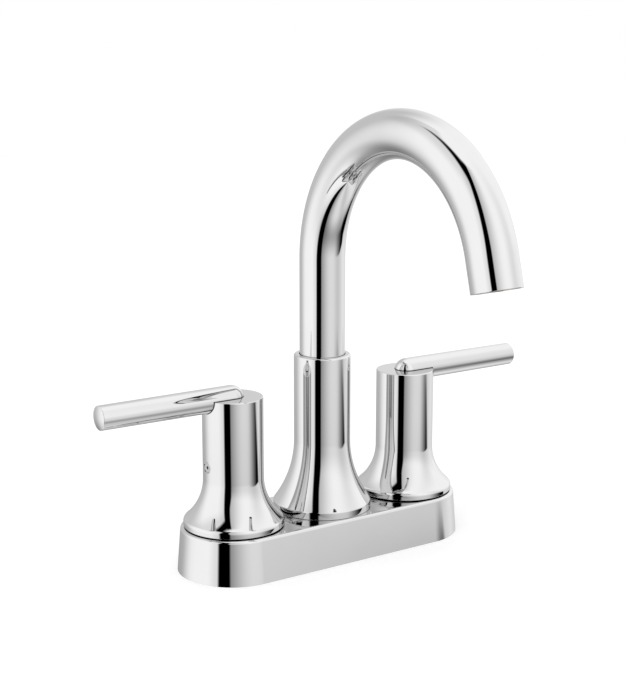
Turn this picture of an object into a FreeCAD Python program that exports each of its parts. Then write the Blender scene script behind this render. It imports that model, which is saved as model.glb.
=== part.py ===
import FreeCAD, Part
import math
import os

from FreeCAD import Vector

# A centerset basin tap: a low base cover with two lever handles and a swivelling gooseneck spout.
# Millimetres. Z is up, the spout reaches towards -Y, and the hot handle stands at -X.
# The origin is on the deck, under the base, midway between the two handles.

# Base cover
handle_spacing = 101.6
base_radius = 27.25
base_height = 21.5
base_draft_angle = 4.6
base_edge_radius = 1.6
base_wall = 2.4
rib_thickness = 1.6
rib_depth = 2.0
rib_offsets = (20.0, 29.0)
gasket_thickness = 2.0
gasket_ledge = 1.0
gasket_hole_clearance = 0.4

# Deck, fastenings under it and the inlets
deck_thickness = 22.0
shank_radius = 10.45
shank_length = 52.0
supply_thread_length = 15.4
thread_relief_width = 1.2
thread_relief_depth = 0.6
inlet_radius = 5.6
washer_radius = 17.0
washer_thickness = 2.0
mounting_nut_radius = 14.0
mounting_nut_height = 11.0
mounting_nut_flange = 17.0
mounting_nut_flange_height = 2.0
wing_reach = 21.0
wing_thickness = 2.4
wing_count = 4

# Handles
barrel_radius = 14.45
handle_height = 84.25
flange_radius = 24.1
handle_flare_radius = 25.4
handle_flare_start = 23.5
handle_lip_radius = 2.2
handle_gap = 0.5
handle_wall = 2.4
barrel_edge_radius = 0.5
skirt_edge_radius = 0.4
lever_length = 68.7
lever_root_radius = 5.85
lever_tip_radius = 5.65
lever_overrun = 5.0
lever_drop = 0.45
lever_dome = 0.8
lever_edge_radius = 0.35
lever_cover = 3.0
socket_boss_radius = 6.4
handle_rib_thickness = 2.0
handle_rib_count = 4
screw_rise = 6.7
screw_radius = 2.5
screw_length = 9.5
screw_recess_radius = 2.9
screw_key_width = 2.5
screw_key_depth = 2.5
screw_boss_wall = 1.6

# Spout tube
tube_radius = 11.0
tube_wall = 1.15
spout_height = 218.1
bend_radius = 62.0
bend_angle = 165.15
outlet_length = 14.4
tube_bottom_rise = 11.5
collar_radius = 13.0
collar_height = 6.5
spout_travel_angle = 60.0
stop_tooth_angle = 24.0
stop_tooth_height = 2.0

# Hub round the foot of the spout
hub_radius = 13.82
hub_height = 98.55
hub_flare_radius = 51.7
hub_flare_start = 34.5
hub_lip_radius = 1.2
inner_lip_radius = 0.6
hub_rim_radius = 0.9
hub_wall = 2.4
hub_core_height = 11.5
hub_lip_length = 3.0
tube_gap = 0.32
bushing_length = 11.0
bushing_wall = 1.2
thrust_washer_thickness = 1.2

# Spout post and the nut that the hub screws on to
post_neck_radius = 12.7
post_shoulder_radius = 16.0
post_column_radius = 9.2
post_column_height = 43.0
post_bore_radius = 6.0
post_floor = 3.0
hub_nut_radius = 16.2
hub_nut_height = 5.0
ring_gland_rises = (15.0, 23.0)
ring_section = 2.4
glide_ring_rise = 35.0
glide_ring_length = 4.0
glide_ring_thickness = 1.5
foot_washer_thickness = 1.4
running_gap = 0.08
flat_gap = 0.06
slip_gap = 0.3
collar_gap = 0.6

# Valve bodies
body_radius = 12.5
shoulder_radius = 15.5
shoulder_height = 2.5
neck_radius = 12.0
neck_height = 12.5
chamber_radius = 8.65
chamber_floor = 4.0
flange_seat_depth = 9.0
neck_bore_radius = 10.2
cover_hole_gap = 0.3
lock_nut_radius = 16.5
lock_nut_height = 3.5
notch_count = 4
notch_width = 4.0
notch_depth = 1.8

# Pipe from each valve body to the post
pipe_radius = 4.76
pipe_wall = 0.9
pipe_drop = 5.1
pipe_insertion = 3.3

# Quarter-turn cartridges
cartridge_radius = 8.6
disc_radius = 7.3
disc_thickness = 2.2
seal_thickness = 1.6
seal_bore_radius = 5.4
port_inner_radius = 1.6
port_outer_radius = 5.6
port_angle = 76.0
window_sill = 0.5
window_height = 4.8
window_angle = 90.0
cartridge_lintel = 0.6
cartridge_flange_height = 2.0
cartridge_head_radius = 8.2
cartridge_head_height = 6.0
stop_height = 3.4
stop_inner_radius = 5.4
lug_radius = 7.4
lug_height = 2.6
lug_angle = 28.0
stop_clearance_angle = 1.5
travel_angle = 90.0
stem_radius = 3.9
foot_length = 12.6
foot_width = 4.2
foot_height = 3.0
key_length = 9.0
key_width = 2.2
key_depth = 0.9
stem_ring_rise = 4.0
stem_ring_section = 1.5
bonnet_head_height = 6.5
bonnet_head_across = 20.0
bonnet_roof = 2.0
bonnet_hole_gap = 0.9
bonnet_crown_trim = 0.9
spline_rise = 3.5
spline_length = 18.0
spline_depth = 0.5
spline_teeth = 16
spline_gap = 0.04
socket_rise = 2.0

# Aerator in the outlet
outlet_ring_inset = 0.5
outlet_ring_length = 13.6
outlet_ring_wall = 0.9
outlet_seat_width = 2.4
outlet_seat_thickness = 1.4
aerator_inset = 0.9
aerator_length = 10.0
aerator_wall = 0.9
aerator_mouth_radius = 7.3
aerator_lip_thickness = 0.9
key_notch_count = 4
key_notch_width = 2.2
key_notch_depth = 1.0
grid_thickness = 4.0
grid_cell = 1.9
grid_web = 0.5
grid_rings = 3
regulator_thickness = 2.6
regulator_hole_radius = 0.9
regulator_hole_count = 8
regulator_pitch_radius = 5.0
aerator_washer_thickness = 1.2

# Heights and radii that follow from the sizes above
half_spacing = handle_spacing / 2
cover_underside = base_height - base_wall
base_top_radius = base_radius - base_height * math.tan(math.radians(base_draft_angle))
flange_underside = base_height + handle_gap
handle_flare_top = base_height + handle_flare_start
hub_flare_top = base_height + hub_flare_start
screw_height = handle_flare_top + screw_rise
tube_bottom_height = base_height + tube_bottom_rise
post_height = tube_bottom_height + post_column_height
ring_gland_heights = [tube_bottom_height + rise for rise in ring_gland_rises]
glide_ring_height = tube_bottom_height + glide_ring_rise
tube_bore_radius = tube_radius - tube_wall
riser_top = spout_height - tube_radius - bend_radius
post_top_face = tube_bottom_height - flat_gap - foot_washer_thickness
collar_top = tube_bottom_height + collar_height
thrust_face = collar_top + flat_gap + thrust_washer_thickness
hub_lip_bore = tube_radius + tube_gap
bushing_radius = hub_lip_bore + bushing_wall
body_shoulder_bottom = cover_underside - shoulder_height
neck_top = base_height + neck_height
pipe_height = body_shoulder_bottom - pipe_drop
flange_seat_height = neck_top - flange_seat_depth
flange_seat_top = flange_seat_height + cartridge_flange_height
seal_top = chamber_floor + seal_thickness
fixed_disc_top = seal_top + disc_thickness
moving_disc_bottom = fixed_disc_top + flat_gap
moving_disc_top = moving_disc_bottom + disc_thickness
foot_top = moving_disc_top + foot_height
window_bottom = moving_disc_top + window_sill
window_top = window_bottom + window_height
cartridge_roof = window_top + cartridge_lintel
stem_ring_height = cartridge_roof + stem_ring_rise
cartridge_head_top = flange_seat_top + cartridge_head_height
stop_top = cartridge_head_top + stop_height
bonnet_top = neck_top + bonnet_head_height
spline_start = bonnet_top + spline_rise
spline_top = spline_start + spline_length
socket_start = spline_start + socket_rise
lever_axis_height = handle_height - lever_drop
handle_cavity_top = lever_axis_height - lever_root_radius - lever_cover

ACROSS = Vector(1, 0, 0)
DEPTH = Vector(0, 1, 0)
UP = Vector(0, 0, 1)
ORIGIN = Vector(0, 0, 0)
FULL_TURN = 360.0
BACK = 90.0
TOLERANCE = 1e-6


def outline(stops):
    """Closed wire in the XZ plane. A stop is (radius, height), or adds the middle of an arc before them."""
    points = [Vector(stop[-2], 0, stop[-1]) for stop in stops]
    edges = []
    for index, stop in enumerate(stops[1:], start=1):
        if len(stop) == 4:
            middle = Vector(stop[0], 0, stop[1])
            edges.append(Part.Arc(points[index - 1], middle, points[index]).toShape())
        else:
            edges.append(Part.LineSegment(points[index - 1], points[index]).toShape())
    edges.append(Part.LineSegment(points[-1], points[0]).toShape())
    return Part.Wire(edges)


def turned(stops):
    """Solid turned about the Z axis from a closed outline of stops."""
    return Part.Face(outline(stops)).revolve(ORIGIN, UP, FULL_TURN)


def rod(radius, bottom, top):
    """Upright cylinder on the Z axis."""
    return Part.makeCylinder(radius, top - bottom, Vector(0, 0, bottom))


def ring(inner, outer, bottom, top):
    """Upright ring on the Z axis."""
    return rod(outer, bottom, top).cut(rod(inner, bottom, top))


def bar(length, width, bottom, top):
    """Upright block centred on the Z axis."""
    return Part.makeBox(length, width, top - bottom, Vector(-length / 2, -width / 2, bottom))


def wedge(outer, start, angle, bottom, top):
    """Slice of an upright cylinder that starts at an angle from +X and runs anticlockwise."""
    slice_of_rod = Part.makeCylinder(outer, top - bottom, Vector(0, 0, bottom), UP, angle)
    slice_of_rod.rotate(ORIGIN, UP, start)
    return slice_of_rod


def sector(inner, outer, start, angle, bottom, top):
    """Part of a ring that starts at an angle from +X and runs anticlockwise."""
    return wedge(outer, start, angle, bottom, top).cut(rod(inner, bottom, top))


def star(outer, inner, teeth, bottom, top):
    """Upright prism with pointed teeth, the form of a fine spline."""
    points = []
    for index in range(2 * teeth):
        angle = math.pi * index / teeth
        radius = outer if index % 2 == 0 else inner
        points.append(Vector(radius * math.cos(angle), radius * math.sin(angle), bottom))
    face = Part.Face(Part.makePolygon(points + points[:1]))
    return face.extrude(UP * (top - bottom))


def hexagon(across, bottom, top):
    """Upright hexagonal prism, sized across its flats."""
    corner = across / math.sqrt(3)
    return star(corner, corner, 3, bottom, top)


def moved(shape, x, y=0.0, z=0.0):
    """Copy of a shape, moved."""
    copy = shape.copy()
    copy.translate(Vector(x, y, z))
    return copy


def turned_round(shape, angle):
    """Copy of a shape, turned about the Z axis."""
    copy = shape.copy()
    copy.rotate(ORIGIN, UP, angle)
    return copy


def all_round(shape, count):
    """Copies of a shape, evenly spaced about the Z axis."""
    return [turned_round(shape, FULL_TURN * index / count) for index in range(count)]


def torus_ring(inner, section, height):
    """O-ring of round section with a given inner radius."""
    return Part.makeTorus(inner + section / 2, section / 2, Vector(0, 0, height))


def at_handles(shape):
    """The same shape at both handles, as one group of separate solids."""
    return Part.makeCompound([moved(shape, -half_spacing), moved(shape, half_spacing)])


def stadium_prism(radius, bottom, top):
    """Straight-sided long oval whose round ends are centred on the handles."""
    ends = [moved(rod(radius, bottom, top), side * half_spacing) for side in (-1, 1)]
    middle = bar(handle_spacing, 2 * radius, bottom, top)
    return middle.fuse(ends).removeSplitter()


def drafted_stadium(low_radius, high_radius, bottom, top):
    """Long oval that narrows evenly towards its top."""
    corners = [(-low_radius, bottom), (low_radius, bottom), (high_radius, top), (-high_radius, top)]
    points = [Vector(-half_spacing, y, z) for y, z in corners]
    middle = Part.Face(Part.makePolygon(points + points[:1])).extrude(ACROSS * handle_spacing)
    ends = []
    for side in (-1, 1):
        foot = Vector(side * half_spacing, 0, bottom)
        ends.append(Part.makeCone(low_radius, high_radius, top - bottom, foot))
    return middle.fuse(ends).removeSplitter()


def flared_stops(barrel, flange, flare, lip, flare_top, bottom, top):
    """Stops of a barrel that flares out to a round-lipped flange, from the bottom up."""
    reach = flare + lip
    drop = math.sqrt(reach ** 2 - (reach - (flange - barrel)) ** 2)
    lip_height = flare_top - drop
    slope = math.atan2(drop, reach - (flange - barrel))

    def on_lip(angle):
        return (flange - lip + lip * math.cos(angle), lip_height + lip * math.sin(angle))

    def on_flare(angle):
        return (barrel + flare - flare * math.cos(angle), flare_top - flare * math.sin(angle))

    stops = [(0, bottom), (flange, bottom), (flange, lip_height)]
    stops.append(on_lip(slope / 2) + on_lip(slope))
    stops.append(on_flare(slope / 2) + (barrel, flare_top))
    return stops + [(barrel, top), (0, top)]


def round_circle_edges(shape, radius, places):
    """Rounds the full circles that have a given radius and height."""
    chosen = []
    for edge in shape.Edges:
        for circle_radius, height in places:
            if isinstance(edge.Curve, Part.Circle) and abs(edge.Curve.Radius - circle_radius) < TOLERANCE:
                if abs(edge.Curve.Center.z - height) < TOLERANCE:
                    chosen.append(edge)
    return shape.makeFillet(radius, chosen)


def escutcheon():
    """Base cover: a drafted shell, open below, with a hole for each valve neck and for the post."""
    outer = drafted_stadium(base_radius, base_top_radius, 0, base_height)
    rim = [edge for edge in outer.Edges if edge.BoundBox.ZMin > base_height - TOLERANCE]
    outer = outer.makeFillet(base_edge_radius, rim)
    low_radius = base_radius - base_wall
    hollow = drafted_stadium(low_radius, base_top_radius - base_wall, 0, cover_underside)
    ledge = stadium_prism(low_radius + gasket_ledge, 0, gasket_thickness)
    shell = outer.cut([hollow, ledge])
    ribs = []
    rib_span = 2 * base_radius
    for offset in rib_offsets:
        rib = bar(rib_thickness, rib_span, cover_underside - rib_depth, cover_underside)
        ribs += [moved(rib, offset).common(hollow), moved(rib, -offset).common(hollow)]
    holes = [rod(post_neck_radius + cover_hole_gap, 0, base_height)]
    for side in (-1, 1):
        holes.append(moved(rod(neck_radius + cover_hole_gap, 0, base_height), side * half_spacing))
    keep_clear = rod(post_shoulder_radius + slip_gap, 0, cover_underside)
    ribs = [rib.cut(keep_clear) for rib in ribs]
    for side in (-1, 1):
        socket = moved(rod(shoulder_radius + slip_gap, 0, cover_underside), side * half_spacing)
        ribs = [rib.cut(socket) for rib in ribs]
    return shell.fuse(ribs).cut(holes).removeSplitter()


def base_gasket():
    """Foam gasket in the ledge of the base cover, with holes for the shanks."""
    outer_radius = base_radius - base_wall + gasket_ledge - slip_gap / 2
    sheet = stadium_prism(outer_radius, 0, gasket_thickness)
    hole = rod(shank_radius + gasket_hole_clearance, 0, gasket_thickness)
    return sheet.cut([moved(hole, -half_spacing), moved(hole, half_spacing)])


def valve_body(side):
    """Turned brass body with its shank, chamber and a side outlet towards the post.

    A relief parts the thread for the supply pipe from the one for the nut under the deck.
    """
    relief_bottom = supply_thread_length - shank_length
    relief_top = relief_bottom + thread_relief_width
    relief_radius = shank_radius - thread_relief_depth
    body = turned([
        (inlet_radius, -shank_length),
        (shank_radius, -shank_length),
        (shank_radius, relief_bottom),
        (relief_radius, relief_bottom),
        (relief_radius, relief_top),
        (shank_radius, relief_top),
        (shank_radius, gasket_thickness),
        (body_radius, gasket_thickness),
        (body_radius, body_shoulder_bottom),
        (shoulder_radius, body_shoulder_bottom),
        (shoulder_radius, cover_underside),
        (neck_radius, cover_underside),
        (neck_radius, neck_top),
        (neck_bore_radius, neck_top),
        (neck_bore_radius, flange_seat_height),
        (chamber_radius, flange_seat_height),
        (chamber_radius, chamber_floor),
        (inlet_radius, chamber_floor),
    ])
    outlet = Part.makeCylinder(pipe_radius, shoulder_radius, Vector(0, 0, pipe_height), ACROSS * -side)
    return moved(body.cut(outlet), side * half_spacing)


def cross_pipe(side):
    """Pipe that carries water from a valve body to the post."""
    start = post_neck_radius - pipe_insertion
    length = half_spacing - body_radius + pipe_insertion - start
    seat = Vector(side * start, 0, pipe_height)
    outer = Part.makeCylinder(pipe_radius, length, seat, ACROSS * side)
    bore = Part.makeCylinder(pipe_radius - pipe_wall, length, seat, ACROSS * side)
    return outer.cut(bore)


def spout_post():
    """Post that the spout turns on, fed by the two cross pipes, with a tooth that stops the swivel."""
    stops = [
        (0, gasket_thickness),
        (post_neck_radius, gasket_thickness),
        (post_neck_radius, body_shoulder_bottom),
        (post_shoulder_radius, body_shoulder_bottom),
        (post_shoulder_radius, cover_underside),
        (post_neck_radius, cover_underside),
        (post_neck_radius, post_top_face),
        (post_column_radius, post_top_face),
        (post_column_radius, post_height),
        (post_bore_radius, post_height),
        (post_bore_radius, gasket_thickness + post_floor),
        (0, gasket_thickness + post_floor),
    ]
    post = turned(stops)
    gland_radius = tube_bore_radius - running_gap - ring_section
    gland_half = ring_section / 2 + slip_gap / 2
    cuts = []
    for height in ring_gland_heights:
        cuts.append(ring(gland_radius, tube_bore_radius, height - gland_half, height + gland_half))
    tooth = sector(
        tube_radius + slip_gap, post_neck_radius, BACK - stop_tooth_angle / 2, stop_tooth_angle,
        post_top_face, tube_bottom_height + stop_tooth_height)
    post = post.fuse(tooth)
    groove_radius = tube_bore_radius - running_gap - glide_ring_thickness
    groove_top = glide_ring_height + glide_ring_length
    cuts.append(ring(groove_radius, tube_bore_radius, glide_ring_height, groove_top))
    for side in (-1, 1):
        foot = Vector(0, 0, pipe_height)
        cuts.append(Part.makeCylinder(pipe_radius, post_shoulder_radius, foot, ACROSS * side))
    return post.cut(cuts)


def spout_rings():
    """Two rings that seal the spout tube on its post."""
    inner = tube_bore_radius - running_gap - ring_section
    return Part.makeCompound([torus_ring(inner, ring_section, height) for height in ring_gland_heights])


def glide_ring():
    """Plastic ring that guides the top of the tube on the post."""
    outer = tube_bore_radius - running_gap
    inner = outer - glide_ring_thickness
    return ring(inner, outer, glide_ring_height, glide_ring_height + glide_ring_length)


def foot_washer():
    """Plastic washer that carries the spout on the post's shoulder, notched for the post's stop."""
    top = tube_bottom_height - flat_gap
    washer = ring(post_column_radius + slip_gap, post_neck_radius, post_top_face, top)
    notch_angle = stop_tooth_angle + 2 * stop_clearance_angle
    notch = sector(tube_radius, 2 * tube_radius, BACK - notch_angle / 2, notch_angle, post_top_face, top)
    return washer.cut(notch)


def thrust_washer():
    """Plastic washer between the spout's collar and the hub's shoulder."""
    return ring(hub_lip_bore, collar_radius + slip_gap, collar_top + flat_gap, thrust_face)


def hub_nut():
    """Ring nut that holds the post to the base cover and carries the hub's thread."""
    return ring(post_neck_radius, hub_nut_radius, base_height, base_height + hub_nut_height)


def spout_hub():
    """Flared sleeve round the foot of the spout."""
    sizes = (hub_radius, flange_radius, hub_flare_radius, hub_lip_radius)
    outer = turned(flared_stops(*sizes, hub_flare_top, base_height, hub_height))
    outer = round_circle_edges(outer, hub_rim_radius, [(hub_radius, hub_height)])
    outer = round_circle_edges(outer, skirt_edge_radius, [(flange_radius, base_height)])
    core_top = base_height + hub_core_height
    inset = (
        hub_radius - hub_wall,
        flange_radius - hub_wall,
        hub_flare_radius + hub_wall,
        inner_lip_radius,
    )
    core = turned(flared_stops(*inset, hub_flare_top, base_height, hub_height))
    core = core.common(rod(flange_radius, base_height, core_top))
    nut_top = base_height + hub_nut_height + slip_gap
    sleeve_radius = collar_radius + collar_gap
    core = core.cut([
        rod(hub_nut_radius + hub_wall, base_height, nut_top + hub_wall),
        rod(sleeve_radius + hub_wall, base_height, core_top),
    ])
    bore = turned([
        (0, base_height),
        (hub_nut_radius, base_height),
        (hub_nut_radius, nut_top),
        (sleeve_radius, nut_top),
        (sleeve_radius, thrust_face),
        (bushing_radius, thrust_face),
        (bushing_radius, hub_height - hub_lip_length),
        (hub_lip_bore, hub_height - hub_lip_length),
        (hub_lip_bore, hub_height),
        (0, hub_height),
    ])
    return outer.cut([core, bore])


def spout_bushing():
    """Plastic bushing under the lip of the hub."""
    top = hub_height - hub_lip_length
    return ring(tube_radius + running_gap, bushing_radius, top - bushing_length, top)


def lock_nut():
    """Notched ring nut that clamps the base cover to a valve body."""
    nut = ring(neck_radius, lock_nut_radius, base_height, base_height + lock_nut_height)
    notch = bar(2 * notch_depth, notch_width, base_height, base_height + lock_nut_height)
    return nut.cut(all_round(moved(notch, lock_nut_radius), notch_count))


def mounting_washer():
    """Washer under the deck."""
    return ring(shank_radius, washer_radius, -deck_thickness - washer_thickness, -deck_thickness)


def mounting_nut():
    """Plastic nut with wings, turned by hand under the deck."""
    top = -deck_thickness - washer_thickness
    bottom = top - mounting_nut_height
    nut = rod(mounting_nut_radius, bottom, top)
    nut = nut.fuse(rod(mounting_nut_flange, top - mounting_nut_flange_height, top))
    wing = Part.makeBox(
        wing_reach - shank_radius, wing_thickness, mounting_nut_height,
        Vector(shank_radius, -wing_thickness / 2, bottom))
    nut = nut.fuse(all_round(wing, wing_count))
    return nut.cut(rod(shank_radius, bottom, top)).removeSplitter()


def bonnet_nut():
    """Hexagonal nut that holds a cartridge down in its valve body."""
    thread = rod(neck_bore_radius, flange_seat_top, neck_top)
    nut = thread.fuse(hexagon(bonnet_head_across, neck_top, bonnet_top))
    crown = rod(bonnet_head_across / 2 + bonnet_crown_trim, neck_top, bonnet_top)
    nut = nut.common(thread.fuse(crown))
    hollow_top = bonnet_top - bonnet_roof
    hollow = rod(cartridge_head_radius + slip_gap, flange_seat_top, hollow_top)
    return nut.cut([hollow, rod(stem_radius + bonnet_hole_gap, hollow_top, bonnet_top)])


def disc_ports(start, bottom, top):
    """Two opposite openings through a valve disc."""
    first = sector(port_inner_radius, port_outer_radius, start, port_angle, bottom, top)
    return [first, turned_round(first, FULL_TURN / 2)]


def seat_seal(side):
    """Rubber ring between the inlet and the fixed disc."""
    seal = ring(seal_bore_radius, disc_radius, chamber_floor, seal_top)
    return moved(seal, side * half_spacing)


def fixed_disc(side):
    """Ceramic disc that stays still, with two ports."""
    disc = rod(disc_radius, seal_top, fixed_disc_top)
    disc = disc.cut(disc_ports((FULL_TURN / 4 - port_angle) / 2, seal_top, fixed_disc_top))
    return moved(disc, side * half_spacing)


def moving_disc(side):
    """Ceramic disc that turns with the stem: its ports miss those below it until the lever moves."""
    quarter = FULL_TURN / 4
    disc = rod(disc_radius, moving_disc_bottom, moving_disc_top)
    ports = disc_ports(quarter + (quarter - port_angle) / 2, moving_disc_bottom, moving_disc_top)
    slot = bar(key_length, key_width, moving_disc_top - key_depth, moving_disc_top)
    return moved(disc.cut(ports + [slot]), side * half_spacing)


def cartridge_housing(side):
    """Plastic housing of a cartridge, with windows to the chamber and the stop for the quarter turn."""
    disc_pocket = disc_radius + slip_gap
    housing = turned([
        (disc_pocket, chamber_floor + slip_gap),
        (cartridge_radius, chamber_floor + slip_gap),
        (cartridge_radius, flange_seat_height),
        (neck_bore_radius, flange_seat_height),
        (neck_bore_radius, flange_seat_top),
        (cartridge_head_radius, flange_seat_top),
        (cartridge_head_radius, cartridge_head_top),
        (stem_radius + running_gap, cartridge_head_top),
        (stem_radius + running_gap, cartridge_roof),
        (disc_pocket, cartridge_roof),
    ])
    window = wedge(2 * cartridge_radius, -window_angle / 2, window_angle, window_bottom, window_top)
    housing = housing.cut([window, turned_round(window, FULL_TURN / 2)])
    free_angle = travel_angle + lug_angle + 2 * stop_clearance_angle
    start = lug_start(side) - stop_clearance_angle
    if side > 0:
        start -= travel_angle
    stop_start = start + free_angle
    stop = sector(
        stop_inner_radius, cartridge_head_radius, stop_start, FULL_TURN - free_angle,
        cartridge_head_top, stop_top)
    return moved(housing.fuse(stop), side * half_spacing)


def lug_start(side):
    """Angle where the stem's lug begins with the lever shut. The lug points away from the lever."""
    away_from_lever = FULL_TURN / 2 if side > 0 else 0.0
    return away_from_lever - lug_angle / 2


def stem(side):
    """Stem that joins the lever to the moving disc, with its lug, ring groove and spline."""
    shaft = rod(stem_radius, moving_disc_top, spline_start)
    foot = bar(foot_length, foot_width, moving_disc_top, foot_top)
    foot = foot.common(rod(disc_radius, moving_disc_top, foot_top))
    key = bar(key_length - slip_gap, key_width - slip_gap, moving_disc_top - key_depth, moving_disc_top)
    lug_bottom = cartridge_head_top + slip_gap
    lug = wedge(lug_radius, lug_start(side), lug_angle, lug_bottom, lug_bottom + lug_height)
    spline = star(stem_radius, stem_radius - spline_depth, spline_teeth, spline_start, spline_top)
    whole = shaft.fuse([foot, key, lug, spline])
    half_groove = stem_ring_section / 2 + slip_gap / 2
    inner = stem_radius - stem_ring_section + running_gap / 2
    groove = ring(inner, 2 * stem_radius, stem_ring_height - half_groove, stem_ring_height + half_groove)
    return moved(whole.cut(groove), side * half_spacing)


def stem_ring(side):
    """Small ring that seals the stem in its housing."""
    inner = stem_radius - stem_ring_section + running_gap / 2
    return moved(torus_ring(inner, stem_ring_section, stem_ring_height), side * half_spacing)


def lever_rod():
    """Round lever along +X, with a round inner end and a slightly domed tip."""
    centre = lever_root_radius - lever_overrun
    root_slant = lever_root_radius * math.sqrt(0.5)
    rim = lever_tip_radius - lever_edge_radius
    edge_slant = lever_edge_radius * math.sqrt(0.5)
    edge_centre = lever_length - lever_edge_radius
    dome_radius = (rim ** 2 + lever_dome ** 2) / (2 * lever_dome)
    dome_middle = lever_length + lever_dome - dome_radius + math.sqrt(dome_radius ** 2 - (rim / 2) ** 2)
    stops = [
        (0, -lever_overrun),
        (root_slant, centre - root_slant, lever_root_radius, centre),
        (lever_tip_radius, edge_centre),
        (rim + edge_slant, edge_centre + edge_slant, rim, lever_length),
        (rim / 2, dome_middle, 0, lever_length + lever_dome),
    ]
    lever = turned(stops)
    lever.rotate(ORIGIN, DEPTH, FULL_TURN / 4)
    return moved(lever, 0, 0, lever_axis_height)


def handle_casting(side):
    """Hollow flared barrel with its lever, and inside it the splined boss on ribs and the screw's boss."""
    sizes = (barrel_radius, flange_radius, handle_flare_radius, handle_lip_radius)
    barrel = turned(flared_stops(*sizes, handle_flare_top, flange_underside, handle_height))
    barrel = round_circle_edges(barrel, barrel_edge_radius, [(barrel_radius, handle_height)])
    barrel = round_circle_edges(barrel, skirt_edge_radius, [(flange_radius, flange_underside)])
    inset = (
        barrel_radius - handle_wall,
        flange_radius - handle_wall,
        handle_flare_radius + handle_wall,
        inner_lip_radius,
    )
    cavity = turned(flared_stops(*inset, handle_flare_top, flange_underside, handle_cavity_top))
    inner_radius = barrel_radius - handle_wall / 2
    boss = rod(socket_boss_radius, socket_start, handle_cavity_top)
    rib = Part.makeBox(
        inner_radius, handle_rib_thickness, handle_cavity_top - socket_start,
        Vector(0, -handle_rib_thickness / 2, socket_start))
    ribs = all_round(turned_round(rib, FULL_TURN / handle_rib_count / 2), handle_rib_count)
    screw_seat = Vector(0, 0, screw_height)
    screw_boss = Part.makeCylinder(screw_radius + screw_boss_wall, inner_radius, screw_seat, ACROSS)
    lever = lever_rod()
    casting = barrel.cut(cavity).fuse([boss, screw_boss, lever] + ribs)
    socket_outer = stem_radius + spline_gap
    socket_inner = socket_outer - spline_depth
    socket_top = spline_top + slip_gap
    socket = star(socket_outer, socket_inner, spline_teeth, socket_start, socket_top)
    screw_end = stem_radius + spline_gap + screw_length
    hole = Part.makeCylinder(screw_radius, barrel_radius, screw_seat, ACROSS)
    recess_start = Vector(screw_end, 0, screw_height)
    recess = Part.makeCylinder(screw_recess_radius, barrel_radius, recess_start, ACROSS)
    casting = casting.cut([socket, hole, recess]).removeSplitter()
    return place_handle(casting, side)


def place_handle(shape, side):
    """Puts a shape that was built with the lever along +X at its own handle."""
    return moved(turned_round(shape, 0 if side > 0 else FULL_TURN / 2), side * half_spacing)


def set_screw(side):
    """Grub screw with a hexagonal socket that grips the stem."""
    start = stem_radius + spline_gap
    key = hexagon(screw_key_width, screw_length - screw_key_depth, screw_length)
    screw = rod(screw_radius, 0, screw_length).cut(key)
    screw.rotate(ORIGIN, DEPTH, FULL_TURN / 4)
    return place_handle(moved(screw, start, 0, screw_height), side)


def outlet_direction():
    """Direction of the water at the outlet."""
    angle = math.radians(bend_angle)
    return Vector(0, -math.sin(angle), math.cos(angle))


def bend_point(distance):
    """Point on the bend's end face, at a distance from the bend's centre."""
    angle = math.radians(bend_angle)
    return Vector(0, -bend_radius + distance * math.cos(angle), riser_top + distance * math.sin(angle))


def outlet_centre():
    """Centre of the outlet's end face."""
    return bend_point(bend_radius) + outlet_direction() * outlet_length


def tube_solid(radius):
    """Solid core of the spout at a given radius: riser, bend and outlet leg."""
    riser = rod(radius, tube_bottom_height, riser_top)
    face = Part.Face(Part.Wire(Part.makeCircle(radius, Vector(0, 0, riser_top), UP)))
    bend = face.revolve(Vector(0, -bend_radius, riser_top), ACROSS, bend_angle)
    leg = Part.makeCylinder(radius, outlet_length, bend_point(bend_radius), outlet_direction())
    return riser.fuse([bend, leg]).removeSplitter()


def spout_tube():
    """Bent gooseneck tube, open at both ends."""
    return tube_solid(tube_radius).cut(tube_solid(tube_bore_radius))


def spout_collar():
    """Collar brazed to the foot of the tube, which the hub traps. Its long notch limits the swivel."""
    collar = ring(tube_radius, collar_radius, tube_bottom_height, collar_top)
    notch_angle = 2 * spout_travel_angle + stop_tooth_angle + 2 * stop_clearance_angle
    notch_top = tube_bottom_height + stop_tooth_height + slip_gap
    notch = wedge(2 * tube_radius, BACK - notch_angle / 2, notch_angle, tube_bottom_height, notch_top)
    return collar.cut(notch)


def in_outlet(shape):
    """Places a shape built round Z, with the tube's end face at zero, in the outlet."""
    copy = shape.copy()
    copy.rotate(ORIGIN, ACROSS, bend_angle - FULL_TURN / 2)
    copy.translate(outlet_centre())
    return copy


def outlet_ring():
    """Threaded ring brazed into the outlet, with the seat for the aerator's washer."""
    inner = tube_bore_radius - outlet_ring_wall
    top = outlet_ring_inset + outlet_ring_length
    body = ring(inner, tube_bore_radius, outlet_ring_inset, top)
    seat = ring(inner - outlet_seat_width, tube_bore_radius, top - outlet_seat_thickness, top)
    return in_outlet(body.fuse(seat).removeSplitter())


def aerator_housing():
    """Cup that screws into the outlet ring, notched for its key."""
    outer = tube_bore_radius - outlet_ring_wall
    bottom = aerator_inset
    cup = ring(outer - aerator_wall, outer, bottom, bottom + aerator_length)
    lip = ring(aerator_mouth_radius, outer, bottom, bottom + aerator_lip_thickness)
    notch = bar(2 * key_notch_depth, key_notch_width, bottom, bottom + aerator_lip_thickness)
    notches = all_round(moved(notch, aerator_mouth_radius), key_notch_count)
    return in_outlet(cup.fuse(lip).removeSplitter().cut(notches))


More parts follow.
